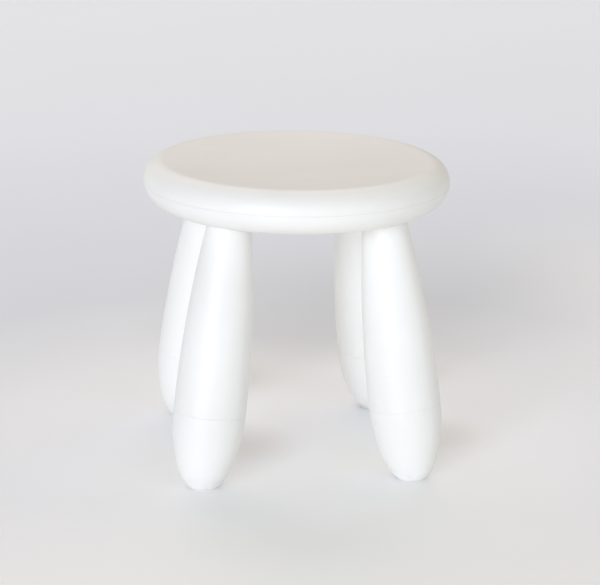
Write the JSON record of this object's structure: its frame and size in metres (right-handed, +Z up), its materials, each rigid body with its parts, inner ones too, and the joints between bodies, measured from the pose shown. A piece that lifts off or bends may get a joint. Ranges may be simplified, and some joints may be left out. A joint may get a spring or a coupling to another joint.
{
  "type": "child's stool",
  "caption": "Round child's stool: a dished seat with a puffy rim on splayed, hollow barrel legs that twist-lock into it; each leg ends in a snapped-in foot cap with a glide.",
  "frame": {"origin": "on the floor, under the middle of the seat", "axes": "+Z up; the legs stand on the diagonals, and -Y is the front"},
  "size_m": [0.302, 0.302, 0.3],
  "materials": {
    "seat_plastic": "satin moulded polypropylene, fine texture",
    "leg_plastic": "satin moulded polypropylene",
    "glide_plastic": "soft translucent elastomer",
    "screw_steel": "zinc plated"
  },
  "bodies": {
    "seat": {"seat_top": "seat_plastic", "seat_base": "seat_plastic", "seat_screws": "screw_steel"},
    "leg_rear_right": {"leg_tube_rear_right": "leg_plastic", "foot_cap_rear_right": "leg_plastic", "foot_glide_rear_right": "glide_plastic"},
    "leg_rear_left": {"leg_tube_rear_left": "leg_plastic", "foot_cap_rear_left": "leg_plastic", "foot_glide_rear_left": "glide_plastic"},
    "leg_front_left": {"leg_tube_front_left": "leg_plastic", "foot_cap_front_left": "leg_plastic", "foot_glide_front_left": "glide_plastic"},
    "leg_front_right": {"leg_tube_front_right": "leg_plastic", "foot_cap_front_right": "leg_plastic", "foot_glide_front_right": "glide_plastic"}
  },
  "joints": [
    {"name": "twist_rear_right", "type": "hinge", "parent": "seat", "child": "leg_rear_right", "pos_m": [0.10433, 0.10433, 0], "axis": [0.1155, 0.1155, -0.9866], "range_deg": [0, 60]},
    {"name": "twist_rear_left", "type": "hinge", "parent": "seat", "child": "leg_rear_left", "pos_m": [-0.10433, 0.10433, 0], "axis": [-0.1155, 0.1155, -0.9866], "range_deg": [0, 60]},
    {"name": "twist_front_left", "type": "hinge", "parent": "seat", "child": "leg_front_left", "pos_m": [-0.10433, -0.10433, 0], "axis": [-0.1155, -0.1155, -0.9866], "range_deg": [0, 60]},
    {"name": "twist_front_right", "type": "hinge", "parent": "seat", "child": "leg_front_right", "pos_m": [0.10433, -0.10433, 0], "axis": [0.1155, -0.1155, -0.9866], "range_deg": [0, 60]}
  ]
}
